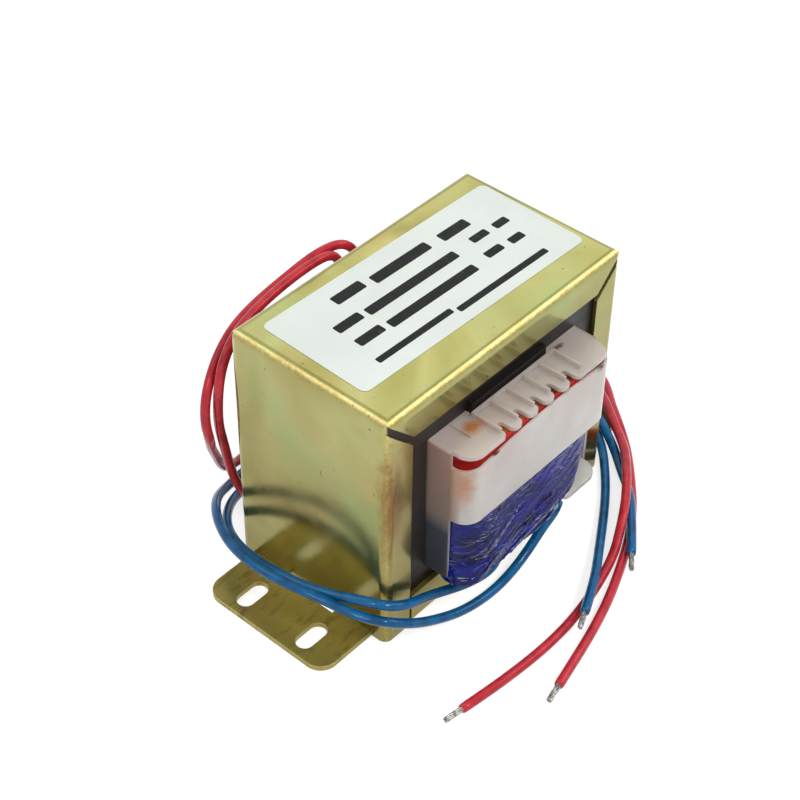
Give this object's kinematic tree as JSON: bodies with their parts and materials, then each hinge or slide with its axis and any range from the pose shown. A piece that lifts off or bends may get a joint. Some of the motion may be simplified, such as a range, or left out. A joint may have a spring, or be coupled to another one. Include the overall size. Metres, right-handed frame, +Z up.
{
  "type": "laminated chassis transformer",
  "caption": "Frame-mount power transformer: laminated EI core in a folded steel channel with slotted feet, two-section bobbin with a lead comb, taped windings and flexible leads.",
  "frame": {"origin": "centre of the foot plate's underside, on the surface it stands on", "axes": "+X from foot to foot along the frame, +Y through the lamination stack from the comb side with the free lead ends to the side where the leads leave, +Z up"},
  "size_m": [0.1383, 0.1189, 0.075],
  "materials": {
    "zinc_chromate_steel": "yellow chromate zinc plate, satin with streaks",
    "core_steel": "silicon steel sheet under dark varnish",
    "bobbin_plastic": "milky translucent nylon",
    "copper_wire": "enamelled copper",
    "red_tape": "glossy polyester tape",
    "blue_tape": "glossy creased polyester tape",
    "label_film": "satin white label",
    "red_insulation": "satin vinyl",
    "blue_insulation": "satin vinyl",
    "tinned_strands": "tinned copper strands"
  },
  "bodies": {
    "root": {"channel_frame": "zinc_chromate_steel", "foot_plate": "zinc_chromate_steel", "outer_e_laminations": "core_steel", "outer_i_laminations": "core_steel", "inner_e_laminations": "core_steel", "inner_i_laminations": "core_steel", "wedge_sheets": "core_steel", "bobbin": "bobbin_plastic", "front_cover": "bobbin_plastic", "rear_cover": "bobbin_plastic", "primary_winding": "copper_wire", "primary_tape": "red_tape", "secondary_winding": "copper_wire", "secondary_tape": "blue_tape", "label": "label_film", "red_lead_a": "red_insulation", "red_lead_b": "red_insulation", "blue_lead_a": "blue_insulation", "blue_lead_b": "blue_insulation", "red_end_a": "tinned_strands", "red_end_b": "tinned_strands", "blue_end_a": "tinned_strands", "blue_end_b": "tinned_strands"}
  },
  "joints": []
}
